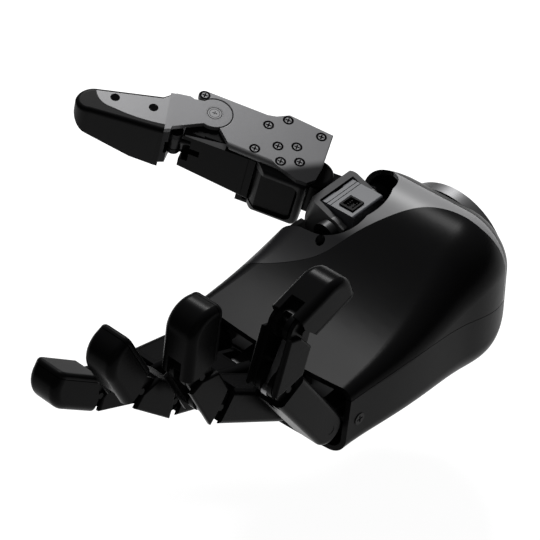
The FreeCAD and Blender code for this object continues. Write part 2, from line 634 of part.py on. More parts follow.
# Push rod: an eye on the tip pin, a round bar and a slotted end in the actuator
rod_tilt = 9.9
rod = zcyl(3.2, 0, 0, rod_c - 3.6, rod_c + 3.6)
bar = cyl(1.5, V(-rod_length, 0, rod_c), X, rod_length)
end = zcyl(2.2, -rod_length, 0, rod_c - 2.2, rod_c + 2.2)
rod = rod.fuse([bar, end]).removeSplitter()
rod = rod.cut(zcyl(1.5 + running_fit, 0, 0, -30, 0))

BEND = FreeCAD.Placement(V(pivot_l, pivot_w, 0), FreeCAD.Rotation(Z, thumb_rest_bend))


def on_tip(shape):
    s = shape.copy()
    s.Placement = THUMB.multiply(BEND.multiply(s.Placement))
    return s


rod_place = FreeCAD.Placement(eye, FreeCAD.Rotation(Z, rod_tilt - thumb_rest_bend))
rod_place = BEND.multiply(rod_place)
push_rod = rod.copy()
push_rod.Placement = THUMB.multiply(rod_place)
pivot_pin = zcyl(2.5, pivot_l, pivot_w, -26.7, -0.85)
pivot_pin = pivot_pin.fuse(zcyl(4.0, pivot_l, pivot_w, -0.75, -0.05)).removeSplitter()
cross = box(pivot_l - 1.2, pivot_l + 1.2, pivot_w - 0.25, pivot_w + 0.25, -0.5, 1.0)
cross = cross.fuse(box(pivot_l - 0.25, pivot_l + 0.25, pivot_w - 1.2, pivot_w + 1.2, -0.5, 1.0))
pivot_pin = pivot_pin.cut(cross)

out("back_shell", back_shell)
out("palm_cover", palm_cover)
out("thenar_shell", thenar_shell)
out("wrist_cap", wrist_cap)
out("wrist_flange", wrist_flange)
out("palm_frame", palm_frame)
out("dorsal_plate", dorsal_plate)
out("finger_motors", finger_motors)
out("control_board", control_board)
out("knuckle_pins", knuckle_pins)
out("turn_motor", turn_motor)
out("turn_connector", connector)
out("turn_pins", turn_pins)
side_screw = screw(V(side_screw_x, 45.6, side_screw_z), Y, 2.9, 1.5, 1.6, 2.2)
out("side_screw", side_screw)
out("thumb_yoke", thumb_yoke)
out("thumb_hub", thumb_hub)
out("root_bracket", root_bracket)
out("root_motor", on_thumb(root_motor))
out("bend_pin", on_thumb(bend_pin))
out("side_plate", on_thumb(side_plate))
out("plate_screws", on_thumb(plate_screws))
out("actuator_cap", on_thumb(actuator_cap))
out("actuator_body", on_thumb(actuator_body))
out("bend_strap", on_thumb(bend_strap))
out("pivot_pin", on_thumb(pivot_pin))
out("tip_fork", on_tip(tip_fork))
out("eye_pin", on_tip(eye_pin))
out("tip_inlay", on_tip(tip_inlay))
out("thumb_pad", on_tip(thumb_pad))
out("push_rod", push_rod)

# Finger pieces, drawn straight with the joint axis across at the origin
half = finger_width / 2
ph = proximal_height / 2
lug_half = half - cheek_thick - 0.3
body_end = proximal_length - middle_radius - 0.6
outer_end = proximal_length - 5.6
prox_pts = [V(0, -half, -ph), V(outer_end + 1.6, -half, -ph), V(outer_end, -half, ph), V(0, -half, ph)]
proximal = face_of(prox_pts, ((3, V(-ph, -half, 0)),)).extrude(V(0, finger_width, 0))


def proximal_side_edge(e):
    return abs(abs(e.CenterOfMass.y) - half) < 0.1 and e.CenterOfMass.x < outer_end - 5


proximal = softened(proximal, 2.6, proximal_side_edge)
proximal = proximal.cut(box(body_end + 0.8, proximal_length, -lug_half - 0.3, lug_half + 0.3, -20, 20))
slot = box(-20, 8.6, -slot_width / 2, slot_width / 2, -knuckle_lug_radius - 0.5, 20)
proximal = proximal.cut(slot)
panel = box(10.0, body_end - 1.6, -5.6, 5.6, ph - 1.2, ph + 3)
panel = softened(panel, 1.4, lambda e: along(e, Z))
proximal = proximal.cut(panel)
tongue = ycyl(tongue_radius, proximal_length, 0, -tongue_width / 2, tongue_width / 2)
neck = box(body_end - 3, proximal_length, -tongue_width / 2, tongue_width / 2, -4.4, 4.4)
proximal = proximal.fuse(tongue.fuse(neck)).removeSplitter()
split = link_thick / 2 + 0.3
link_room = box(body_end - 6, proximal_length + 20, -split, split, -20, 0.0)
link_room = link_room.fuse(box(proximal_length - 1.8, proximal_length + 20, -split, split, -20, 20))
proximal = proximal.cut(link_room)
link_pin_half = tongue_width / 2 - 0.4
link_pin = ycyl(link_pin_radius, proximal_length, -link_offset, -link_pin_half, link_pin_half)
proximal = proximal.cut(ycyl(pin_radius + running_fit, proximal_length, 0, -20, 20))
proximal = proximal.cut(ycyl(knuckle_pin_radius + running_fit, 0, 0, -20, 20))
proximal = proximal.fuse(link_pin).removeSplitter()
proximal_plate = box(10.15, body_end - 1.75, -5.45, 5.45, ph - 1.2, ph - 0.05)
proximal_plate = softened(proximal_plate, 1.3, lambda e: along(e, Z))

# Middle piece: a deep channel with two slanted cheeks, and round lugs inside them at both axes
mr = middle_radius
mid_half = half - 0.2
web_x0 = 5.0
web_x1 = middle_length - 7.5
lr = lug_radius
cheek_pts = [V(web_x0, 0, mr), V(web_x1, 0, mr), V(middle_length - 2.0, 0, -1.0)]
cheek_pts += [V(middle_length - 2.0, 0, -channel_depth), V(-3.0, 0, -channel_depth), V(-1.0, 0, -3.0)]
lug_pts = [V(0, 0, -lr), V(middle_length, 0, -lr), V(middle_length, 0, lr), V(0, 0, lr)]
lug_arcs = ((1, V(middle_length + lr, 0, 0)), (3, V(-lr, 0, 0)))
middle_walls = []
for side in (-1, 1):
    cheek = face_of(cheek_pts).extrude(V(0, side * (mid_half - lug_half), 0))
    cheek.translate(V(0, side * lug_half, 0))
    lug = face_of(lug_pts, lug_arcs).extrude(V(0, side * (lug_half - slot_width / 2), 0))
    lug.translate(V(0, side * slot_width / 2, 0))
    middle_walls += [cheek, lug]
web = box(web_x0, web_x1, -lug_half, lug_half, mr - 1.6, mr)
middle = joined([web] + middle_walls)
middle = softened(middle, 1.0, lambda e: abs(abs(e.CenterOfMass.y) - mid_half) < 0.1)
middle = middle.cut(ycyl(pin_radius, 0, 0, -20, 20)).cut(ycyl(pin_radius, middle_length, 0, -20, 20))
pin_half = mid_half - 0.1
stub = link_thick / 2 + 0.6
joint_pins = [ycyl(pin_radius, x, 0, stub, pin_half) for x in (0, middle_length)]
joint_pins += [ycyl(pin_radius, x, 0, -pin_half, -stub) for x in (0, middle_length)]
joint_pins = Part.makeCompound(joint_pins)

th = tip_height / 2
pad_depth = 2.8
nose_off = nose_radius * (1 - math.sqrt(0.5))
base_pts = [V(0, -mid_half, -th), V(0.5, -mid_half, -2.0), V(6.0, -mid_half, th)]
base_pts += [V(tip_length, -mid_half, th), V(tip_length, -mid_half, nose_radius - th)]
base_pts.append(V(tip_length - nose_radius, -mid_half, -th))
nose_mid = V(tip_length - nose_off, -mid_half, nose_off - th)


def tip_side_edge(e):
    middle_of = e.CenterOfMass
    return abs(middle_of.y) > mid_half - 0.1 and middle_of.x > 8 and middle_of.z < th - 0.1


tip = face_of(base_pts, ((4, nose_mid),)).extrude(V(0, 2 * mid_half, 0))
tip = softened(tip, 3.6, tip_side_edge)
tip = softened(tip, 1.8, lambda e: e.CenterOfMass.z > th - 0.1 and e.CenterOfMass.x > 8)
tip = tip.cut(ycyl(lug_radius + 0.7, 0, 0, -lug_half - 0.3, lug_half + 0.3))
pad_zone = box(2.0, 60, -20, 20, th - pad_depth, 20)
finger_pad = tip.common(pad_zone)
groove_core = box(0, tip_length - 1.4, -mid_half + 1.4, mid_half - 1.4, -20, 20)
groove = box(0, 60, -20, 20, th - pad_depth, th - pad_depth + 0.3).cut(groove_core)
finger_pad = finger_pad.cut(groove)
tip_cap = tip.cut(pad_zone)
tip_cap = tip_cap.cut(box(-1.0, 8.0, -3.6, 3.6, -20, -4.8))
tip_tongue = ycyl(tongue_radius, 0, 0, -tongue_width / 2, tongue_width / 2)
tip_tongue = tip_tongue.fuse(box(0, 9.0, -tongue_width / 2, tongue_width / 2, -4.5, 4.5))
tip_cap = tip_cap.fuse(tip_tongue.cut(finger_pad)).removeSplitter()
tip_room = box(-20, 1.8, -split, split, -20, 20).fuse(box(-20, 8.0, -split, split, 0.0, 20))
tip_cap = tip_cap.cut(tip_room.cut(finger_pad))
tip_cap = tip_cap.cut(ycyl(pin_radius + running_fit, 0, 0, -20, 20))
tip_link_pin = ycyl(link_pin_radius, 0, link_offset, -link_pin_half, link_pin_half)
tip_cap = biggest(tip_cap.fuse(tip_link_pin).removeSplitter())

# Link across the middle piece, drawn from the tip pin back to the proximal pin
full_curl = 63.0
steep = math.atan2(2 * link_offset, middle_length)
flat = math.atan2(2 * link_offset * math.cos(math.radians(full_curl)), middle_length)
link_span = (math.hypot(middle_length, 2 * link_offset) + middle_length) / 2
eye_r = link_pin_radius + 1.3
link = ycyl(eye_r, 0, 0, -link_thick / 2, link_thick / 2)
link = link.fuse(ycyl(eye_r + 0.5, -link_span, 0, -link_thick / 2, link_thick / 2))
link = link.fuse(box(-link_span, 0, -link_thick / 2, link_thick / 2, -1.4, 1.4)).removeSplitter()
link = link.cut(ycyl(link_pin_radius + running_fit, 0, 0, -20, 20))
link = link.cut(ycyl(link_pin_radius + link_play, -link_span, 0, -20, 20))


def bend_up(deg):
    return FreeCAD.Rotation(Y, -deg)


def place(shape, p):
    s = shape.copy()
    s.Placement = p.multiply(s.Placement)
    return s


for name, (kx, ky, rest) in knuckles.items():
    a1 = rest
    a2 = a1 + curl_ratio * rest
    a3 = a2 + curl_ratio * rest
    p1 = FreeCAD.Placement(V(kx, ky, knuckle_z), bend_up(a1))
    p2 = FreeCAD.Placement(p1.multVec(V(proximal_length, 0, 0)), bend_up(a2))
    p3 = FreeCAD.Placement(p2.multVec(V(middle_length, 0, 0)), bend_up(a3))
    part = curl_ratio * rest / full_curl
    tilt = math.degrees(steep + (flat - steep) * part) + link_lean
    pin_at = p3.multVec(V(0, 0, link_offset))
    p4 = FreeCAD.Placement(pin_at, bend_up(a2 + tilt))
    out("proximal_" + name, place(proximal, p1))
    out("proximal_plate_" + name, place(proximal_plate, p1))
    out("middle_" + name, place(middle, p2))
    out("joint_pins_" + name, place(joint_pins, p2))
    out("tip_cap_" + name, place(tip_cap, p3))
    out("finger_pad_" + name, place(finger_pad, p3))
    out("link_" + name, place(link, p4))
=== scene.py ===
"""Looks of a dexterous robot hand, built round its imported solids."""

import math

import bpy
import numpy as np
from bpy.props import FloatProperty, FloatVectorProperty, PointerProperty
from bpy.types import Operator, Panel, PropertyGroup
from mathutils import Matrix, Vector


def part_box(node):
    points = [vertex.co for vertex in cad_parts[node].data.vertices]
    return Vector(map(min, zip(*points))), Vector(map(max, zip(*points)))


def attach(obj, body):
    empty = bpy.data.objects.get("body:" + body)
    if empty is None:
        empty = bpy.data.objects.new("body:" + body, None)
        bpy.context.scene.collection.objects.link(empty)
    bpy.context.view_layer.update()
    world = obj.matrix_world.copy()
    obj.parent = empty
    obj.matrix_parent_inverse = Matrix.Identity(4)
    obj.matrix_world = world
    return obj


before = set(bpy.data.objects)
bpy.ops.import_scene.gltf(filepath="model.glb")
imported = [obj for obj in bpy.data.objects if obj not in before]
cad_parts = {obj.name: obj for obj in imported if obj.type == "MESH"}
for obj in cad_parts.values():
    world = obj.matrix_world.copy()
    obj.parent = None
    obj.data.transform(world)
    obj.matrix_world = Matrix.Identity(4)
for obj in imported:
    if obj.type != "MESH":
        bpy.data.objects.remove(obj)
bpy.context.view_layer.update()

bl_info = {
    "name": "Robot hand looks",
    "version": (1, 0, 0),
    "blender": (4, 5, 0),
    "location": "View3D > Sidebar > Robot Hand",
    "description": "Finishes, small fasteners and stage for a dexterous robot hand",
    "category": "Object",
}

FINGERS = ("index", "middle", "ring", "little")
MILLIMETRE = 0.001

# Camera: picture width in dots, sensor width in millimetres, clipping distances in metres
PHOTO_PIXELS = 540.0
SENSOR_WIDTH = 36.0
NEAR_CLIP = 0.01
FAR_CLIP = 20.0

# Floor: half its side in metres, and the lines of its grid each way
FLOOR_HALF = 3.0
FLOOR_LINES = 13

# Noise of the finishes: depth of the bump in metres, then scale and detail of grain, smudges and rubbing
BUMP_DEPTH = 0.0001
MOULDED_GRAIN = 2600.0
BLASTED_GRAIN = 5200.0
SOFT_GRAIN = 1500.0
GRAIN_DETAIL = 3.0
SMUDGE_SCALE = 28.0
SMUDGE_DETAIL = 4.0
RUB_SCALE = 60.0
RUB_DETAIL = 5.0

# Rubbed tone: the largest share of it that shows, how much lighter it is, and what it adds at least
RUB_AMOUNT = 0.3
RUB_LIFT = 0.3
RUB_OFFSET = 0.004

# Feel of the two finishes that more than one material has: soft pads and bead-blasted plates
PAD_FEEL = {"spread": 0.08, "relief": 0.3, "grain": SOFT_GRAIN, "specular": 0.04}
PLATE_FEEL = {"roughness": 0.42, "metallic": 0.2, "relief": 0.2, "grain": BLASTED_GRAIN}

# Painted shade fades in metres, each darkening its part towards the dark works tone: along the palm, down
# from the plate's face, and out from the middle of the bend screws
THENAR_PAINTED_SHADE = (0.044, 0.064)
FORK_PAINTED_SHADE = (0.0022, 0.0028)
ROLL_PAINTED_SHADE = (0.0045, 0.0105)

# Thumb frame: start of the plate in metres, then along the thumb, across it and out of its plate
THUMB_START = Vector((0.0324, -0.0523, 0.0405))
ALONG = Vector((0.447, -0.859, 0.25)).normalized()
ACROSS = Vector((0.036, 0.297, 0.952)).cross(ALONG).normalized()
THUMB_AXES = (ALONG, ACROSS, ALONG.cross(ACROSS))

# Direction of the painted roll shade on the side plate's end: the share that leans back along the thumb, the
# rest being across it
ROLL_SHADE_LEAN = 0.55

# Places on the thumb in millimetres along it and across it, and the corners of the painted highlight facet
# with their height
BEND_SPOT = (17.25, 4.3)
PIVOT_SPOT = (57.1, -3.8)
SCREW_SPOTS = ((64.9, -12.4), (31.4, -8.4), (23.6, -15.4), (6.0, -12.6), (33.1, 8.2))
SCREW_SPOTS += ((15.05, -1.6), (23.45, 1.9), (19.55, 10.2), (11.15, 6.7))
TIP_SCREW_SPOTS = ((84.6, 5.62), (103.13, 7.8))
HIGHLIGHT_FACET_CORNERS = ((46.0, 9.62, -2.53), (46.0, 12.07, -4.28), (66.0, 11.6, -3.95), (66.0, 12.07, -4.28))

# Points round each ring of the marks
RING_STEPS = 40

# Marks in millimetres: radii of each ring, half sides and height of the cross's bars, heights over the plate.
# The pivot and screw rings and the crosses are painted shade in grooves, gaps and recesses; the tip's discs
# are dark screw heads.
PIVOT_RINGS = ((3.3, 3.65), (2.4, 2.6))
PIVOT_LIFT = -0.02
SCREW_RING = (1.65, 2.66)
SCREW_LIFT = -0.03
CROSS_HALVES = ((1.2, 0.38, -0.04), (0.38, 1.2, -0.035))
TIP_SCREW_RING = (0.01, 2.3)
TIP_SCREW_LIFT = -0.18


class StageSizes(PropertyGroup):
    """Camera, lamps and floor, in metres and degrees"""

    view_turn: FloatProperty(
        name="View turn", description="Turn of the camera round the hand, in degrees", default=133.34
    )
    view_rise: FloatProperty(name="View rise", description="Height of the camera, in degrees", default=40.93)
    view_roll: FloatProperty(name="View roll", description="Roll of the camera, in degrees", default=-1.14)
    view_distance: FloatProperty(
        name="View distance", description="Camera to hand", default=0.9, unit="LENGTH"
    )
    view_scale: FloatProperty(
        name="View scale", description="Picture dots per metre at the hand", default=2110.0
    )
    view_target: FloatVectorProperty(
        name="View target",
        description="Point in the middle of the frame",
        default=(0.07217, -0.05237, -0.00222),
    )
    floor_drop: FloatProperty(
        name="Floor drop", description="Gap under the hand", default=0.06, unit="LENGTH"
    )
    floor_tone: FloatProperty(name="Floor tone", description="Brightness of the floor", default=0.95)
    floor_base: FloatProperty(
        name="Floor base", description="How much light the floor throws back", default=0.3
    )
    world_tone: FloatProperty(name="World tone", description="Even light from all sides", default=0.1)
    key_place: FloatVectorProperty(
        name="Key place", description="Lamp over the wrist, from the target", default=(-0.608, -0.475, 0.919)
    )
    key_size: FloatProperty(name="Key size", description="Side of that lamp", default=0.3, unit="LENGTH")
    key_power: FloatProperty(name="Key power", description="Power of that lamp", default=12.0)
    fill_place: FloatVectorProperty(
        name="Fill place",
        description="Lamp on the little finger's side, from the target",
        default=(0.7, 0.9, 0.7),
    )
    fill_size: FloatProperty(name="Fill size", description="Side of that lamp", default=0.6, unit="LENGTH")
    fill_power: FloatProperty(name="Fill power", description="Power of that lamp", default=0.25)


class FinishTones(PropertyGroup):
    """Colours of the finishes"""

    shell: FloatVectorProperty(
        name="Shell", description="Satin black shells", subtype="COLOR", default=(0.006, 0.006, 0.0063)
    )
    thumb_shell: FloatVectorProperty(
        name="Thumb shell", description="Greyer thumb shell", subtype="COLOR", default=(0.3, 0.3, 0.305)
    )
    plate: FloatVectorProperty(
        name="Plate", description="Grey thumb plates", subtype="COLOR", default=(0.18, 0.18, 0.1845)
    )
    works: FloatVectorProperty(
        name="Works", description="Dark inner frame", subtype="COLOR", default=(0.012, 0.012, 0.013)
    )
    yoke: FloatVectorProperty(
        name="Yoke", description="Grey thumb yoke", subtype="COLOR", default=(0.14, 0.14, 0.143)
    )
    motor: FloatVectorProperty(
        name="Motor", description="Blue-grey motor", subtype="COLOR", default=(0.09, 0.094, 0.104)
    )
    board: FloatVectorProperty(
        name="Board", description="Green board", subtype="COLOR", default=(0.01, 0.045, 0.025)
    )
    flange: FloatVectorProperty(
        name="Flange", description="Grey wrist flange", subtype="COLOR", default=(0.12, 0.12, 0.123)
    )
    steel: FloatVectorProperty(
        name="Steel", description="Bright steel", subtype="COLOR", default=(0.2, 0.2, 0.205)
    )
    pad: FloatVectorProperty(
        name="Pad", description="Soft black pads", subtype="COLOR", default=(0.006, 0.006, 0.0063)
    )


def stage_sizes():
    """Sizes of the stage kept on the scene."""
    return bpy.context.scene.hand_stage


def tones():
    """Colours kept on the scene."""
    return bpy.context.scene.hand_tones


def opaque(tone):
    """Colour with full alpha."""
    return [*tone, 1.0]


def open_group(name, inputs, outputs):
    """New node group: its inputs are names, kinds and values or None, and its outputs names and kinds."""
    group = bpy.data.node_groups.new(name, "ShaderNodeTree")
    for label, kind, value in inputs:
        socket = group.interface.new_socket(label, in_out="INPUT", socket_type=kind)
        if value is not None:
            socket.default_value = value
    for label, kind in outputs:
        group.interface.new_socket(label, in_out="OUTPUT", socket_type=kind)
    return group, group.nodes.new("NodeGroupInput"), group.nodes.new("NodeGroupOutput")


def math_node(tree, operation, *values):
    """Result of one Math node whose inputs are numbers or sockets."""
    node = tree.nodes.new("ShaderNodeMath")
    node.operation = operation
    for place, value in zip(node.inputs, values):
        if isinstance(value, float):
            place.default_value = value
        else:
            tree.links.new(value, place)
    return node.outputs[0]


def piece_noise(tree, scale, detail):
    """Noise over the piece's own coordinates, with its scale from a socket."""
    coords = tree.nodes.new("ShaderNodeTexCoord")
    noise = tree.nodes.new("ShaderNodeTexNoise")
    noise.inputs["Detail"].default_value = detail
    tree.links.new(coords.outputs["Object"], noise.inputs["Vector"])
    tree.links.new(scale, noise.inputs["Scale"])
    return noise.outputs["Fac"]


def colour_mix(tree, factor, first):
    """Colour Mix node with its factor and its first colour; the second, input B, is left to the caller."""
    mix = tree.nodes.new("ShaderNodeMix")
    mix.data_type = "RGBA"
    tree.links.new(factor, mix.inputs["Factor"])
    tree.links.new(first, mix.inputs["A"])
    return mix


def group_node(tree, group, values):
    """Node that places a group in a material, with its own values on the sockets."""
    node = tree.nodes.new("ShaderNodeGroup")
    node.node_tree = group
    for label, value in values.items():
        node.inputs[label].default_value = value
    return node


def grain_group():
    """Fine moulded grain: fine noise is the height, and slow noise less its middle shifts the roughness."""
    name = "moulded_grain"
    if name in bpy.data.node_groups:
        return bpy.data.node_groups[name]
    inputs = [("Grain Scale", "NodeSocketFloat", None), ("Smudge Scale", "NodeSocketFloat", SMUDGE_SCALE)]
    inputs += [("Roughness", "NodeSocketFloat", None), ("Spread", "NodeSocketFloat", None)]
    outputs = [("Height", "NodeSocketFloat"), ("Roughness", "NodeSocketFloat")]
    group, entry, leave = open_group(name, inputs, outputs)
    fine = piece_noise(group, entry.outputs["Grain Scale"], GRAIN_DETAIL)
    slow = piece_noise(group, entry.outputs["Smudge Scale"], SMUDGE_DETAIL)
    centred = math_node(group, "SUBTRACT", slow, 0.5)
    spread = entry.outputs["Spread"]
    shifted = math_node(group, "MULTIPLY_ADD", centred, spread, entry.outputs["Roughness"])
    group.links.new(fine, leave.inputs["Height"])
    group.links.new(shifted, leave.inputs["Roughness"])
    return group


def wear_group():
    """Rubbed tone: noise times an amount mixes a base colour with a slightly lighter one."""
    name = "rubbed_tone"
    if name in bpy.data.node_groups:
        return bpy.data.node_groups[name]
    inputs = [("Base", "NodeSocketColor", None), ("Rubbed", "NodeSocketColor", None)]
    inputs += [("Scale", "NodeSocketFloat", RUB_SCALE), ("Amount", "NodeSocketFloat", RUB_AMOUNT)]
    group, entry, leave = open_group(name, inputs, [("Color", "NodeSocketColor")])
    noise = piece_noise(group, entry.outputs["Scale"], RUB_DETAIL)
    share = math_node(group, "MULTIPLY", noise, entry.outputs["Amount"])
    mix = colour_mix(group, share, entry.outputs["Base"])
    group.links.new(entry.outputs["Rubbed"], mix.inputs["B"])
    group.links.new(mix.outputs["Result"], leave.inputs["Color"])
    return group


def fade_group():
    """Mask for painted shade: the place along Direction, in metres, goes from 0 at Start to 1 at End."""
    name = "soft_fade"
    if name in bpy.data.node_groups:
        return bpy.data.node_groups[name]
    inputs = [("Direction", "NodeSocketVector", None), ("Start", "NodeSocketFloat", None)]
    inputs += [("End", "NodeSocketFloat", None)]
    group, entry, leave = open_group(name, inputs, [("Mask", "NodeSocketFloat")])
    coords = group.nodes.new("ShaderNodeTexCoord")
    along = group.nodes.new("ShaderNodeVectorMath")
    along.operation = "DOT_PRODUCT"
    group.links.new(coords.outputs["Object"], along.inputs[0])
    group.links.new(entry.outputs["Direction"], along.inputs[1])
    soft = group.nodes.new("ShaderNodeMapRange")
    soft.interpolation_type = "SMOOTHSTEP"
    group.links.new(along.outputs["Value"], soft.inputs["Value"])
    group.links.new(entry.outputs["Start"], soft.inputs["From Min"])
    group.links.new(entry.outputs["End"], soft.inputs["From Max"])
    group.links.new(soft.outputs["Result"], leave.inputs["Mask"])
    return group


def finish(
    name, tone, roughness, spread=0.05, metallic=0.0, grain=MOULDED_GRAIN, relief=0.1, specular=0.5, painted_shade=None
):
    """One finish: grain drives bump and roughness, rubbed tone the colour, and an optional fade paints shade
    that darkens one end.
    """
    if name in bpy.data.materials:
        return bpy.data.materials[name]

    material = bpy.data.materials.new(name)
    material.use_nodes = True
    tree = material.node_tree
    shader = tree.nodes["Principled BSDF"]
    shader.inputs["Metallic"].default_value = metallic
    shader.inputs["Specular IOR Level"].default_value = specular
    grain_values = {"Grain Scale": grain, "Roughness": roughness, "Spread": spread}
    grain_node = group_node(tree, grain_group(), grain_values)
    rubbed = [min(1.0, level * (1.0 + RUB_LIFT) + RUB_OFFSET) for level in tone]
    wear_node = group_node(tree, wear_group(), {"Base": opaque(tone), "Rubbed": opaque(rubbed)})
    bump = tree.nodes.new("ShaderNodeBump")
    bump.inputs["Strength"].default_value = relief
    bump.inputs["Distance"].default_value = BUMP_DEPTH
    tree.links.new(grain_node.outputs["Height"], bump.inputs["Height"])
    tree.links.new(grain_node.outputs["Roughness"], shader.inputs["Roughness"])
    tree.links.new(bump.outputs["Normal"], shader.inputs["Normal"])

    colour = wear_node.outputs["Color"]
    # Painted shade: the fade mixes the colour towards the dark works tone.
    if painted_shade is not None:
        direction, start, end = painted_shade
        fade_values = {"Direction": direction, "Start": start, "End": end}
        fade_node = group_node(tree, fade_group(), fade_values)
        mix = colour_mix(tree, fade_node.outputs["Mask"], colour)
        mix.inputs["B"].default_value = opaque(tones().works)
        colour = mix.outputs["Result"]
    tree.links.new(colour, shader.inputs["Base Color"])
    return material


def dress(names, material):
    """Gives every named solid one finish."""
    for name in names:
        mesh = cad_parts[name].data
        mesh.materials.clear()
        mesh.materials.append(material)


def per_finger(*stems):
    """Node names of a piece on all four fingers."""
    return [stem + "_" + finger for stem in stems for finger in FINGERS]


def thumb_direction(along, across):
    """Direction in the thumb plate from its parts along the thumb and across it."""
    return THUMB_AXES[0] * along + THUMB_AXES[1] * across


def thumb_point(along, across, out):
    """Point in metres from millimetres along the thumb, across it and out of its plate."""
    return THUMB_START + (thumb_direction(along, across) + THUMB_AXES[2] * out) * MILLIMETRE


def plate_points(along, across, out):
    """Points in metres over the thumb's plate: start + along L + across W + out P, each from millimetres."""
    axes = np.array([tuple(axis) for axis in THUMB_AXES]) * MILLIMETRE
    place = np.stack([along.ravel(), across.ravel(), np.broadcast_to(out, along.size)], 1)
    return np.array(THUMB_START) + place @ axes


def ring_points(spot, radii, out):
    """Flat ring: middle + radius (cos t, sin t) for two radii, t in equal steps round the circle."""
    turn = np.linspace(0.0, 2.0 * math.pi, RING_STEPS, endpoint=False)
    radius = np.array(radii)[:, None]
    return plate_points(spot[0] + radius * np.cos(turn), spot[1] + radius * np.sin(turn), out)


def bar_points(spot, half_along, half_across, out):
    """Flat bar: the four corners, middle plus and minus half its length and half its width."""
    along, across = np.meshgrid([-half_along, half_along], [-half_across, half_across])
    return plate_points(spot[0] + along, spot[1] + across, out)


def flat_marks(name, blocks, material, body):
    """One thin piece from blocks of points and faces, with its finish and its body."""
    points = []
    faces = []
    for block, cells in blocks:
        faces.append(cells + sum(len(part) for part in points))
        points.append(block)
    marks = mesh_piece(name, np.concatenate(points), np.concatenate(faces))
    marks.data.materials.append(material)
    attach(marks, body)


def add_thumb_marks():
    """Painted shade rings and crosses on the thumb's screws and pivot, dark screws in its tip and a painted
    highlight facet.
    """
    ring = grid_faces(2, RING_STEPS, wrap=True)
    bar = grid_faces(2, 2)
    dark = finish("screw_shadow", tones().shell, roughness=0.6, specular=0.0)
    # Painted shade: dark rings round the pivot and screw heads and dark crosses in the screw recesses.
    blocks = [(ring_points(PIVOT_SPOT, radii, PIVOT_LIFT), ring) for radii in PIVOT_RINGS]
    for spot in SCREW_SPOTS:
        blocks.append((ring_points(spot, SCREW_RING, SCREW_LIFT), ring))
        blocks += [(bar_points(spot, *halves), bar) for halves in CROSS_HALVES]
    flat_marks("screw_painted_shade", blocks, dark, "thumb_arm")
    blocks = [(ring_points(spot, TIP_SCREW_RING, TIP_SCREW_LIFT), ring) for spot in TIP_SCREW_SPOTS]
    flat_marks("tip_screws", blocks, dark, "thumb_tip")
    # Painted highlight: a grey sheet over the black actuator's facet, as if it caught the light.
    along, across, out = np.array(HIGHLIGHT_FACET_CORNERS).T
    facet = [(plate_points(along, across, out), bar)]
    light = finish("painted_highlight_facet", tones().thumb_shell, roughness=0.4, specular=0.2)
    flat_marks("actuator_painted_highlight", facet, light, "thumb_arm")


def satin_black():
    """Satin black of the fingers and of the thumb's housings."""
    return finish("satin_black_finger", tones().shell, roughness=0.27, specular=0.03)


class HAND_OT_shells(Operator):
    """Satin black palm shells and the greyer shell round the thumb, darkened towards the fingers by painted
    shade
    """

    bl_idname = "hand.shells"
    bl_label = "Palm shells"

    def execute(self, context):
        satin = finish("satin_black_shell", tones().shell, roughness=0.34, specular=0.03)
        dress(("back_shell", "palm_cover", "wrist_cap"), satin)
        # Painted shade: the grey thumb shell turns black towards the fingers, where the lamp's reflection on
        # it falls off.
        painted_shade = (Vector((1.0, 0.0, 0.0)), *THENAR_PAINTED_SHADE)
        grey_feel = {"roughness": 0.36, "spread": 0.04, "specular": 0.12}
        grey = finish("grey_thumb_shell", tones().thumb_shell, painted_shade=painted_shade, **grey_feel)
        dress(("thenar_shell",), grey)
        dark = finish("dark_wear_plate", tones().shell, roughness=0.55, relief=0.2, specular=0.05)
        dress(("dorsal_plate",), dark)
        return {"FINISHED"}


class HAND_OT_fingers(Operator):
    """Black finger pieces with soft pads and steel links"""

    bl_idname = "hand.fingers"
    bl_label = "Fingers"

    def execute(self, context):
        dress(per_finger("proximal", "middle", "tip_cap", "joint_pins") + ["knuckle_pins"], satin_black())
        panel_feel = {"roughness": 0.26, "spread": 0.04, "relief": 0.05, "specular": 0.04}
        dress(per_finger("proximal_plate"), finish("black_finger_panel", tones().shell, **panel_feel))
        pad = finish("soft_finger_pad", tones().pad, roughness=0.45, **PAD_FEEL)
        dress(per_finger("finger_pad"), pad)
        metal = finish("link_metal", tones().steel, roughness=0.3, spread=0.06, metallic=0.9)
        dress(per_finger("link"), metal)
        return {"FINISHED"}


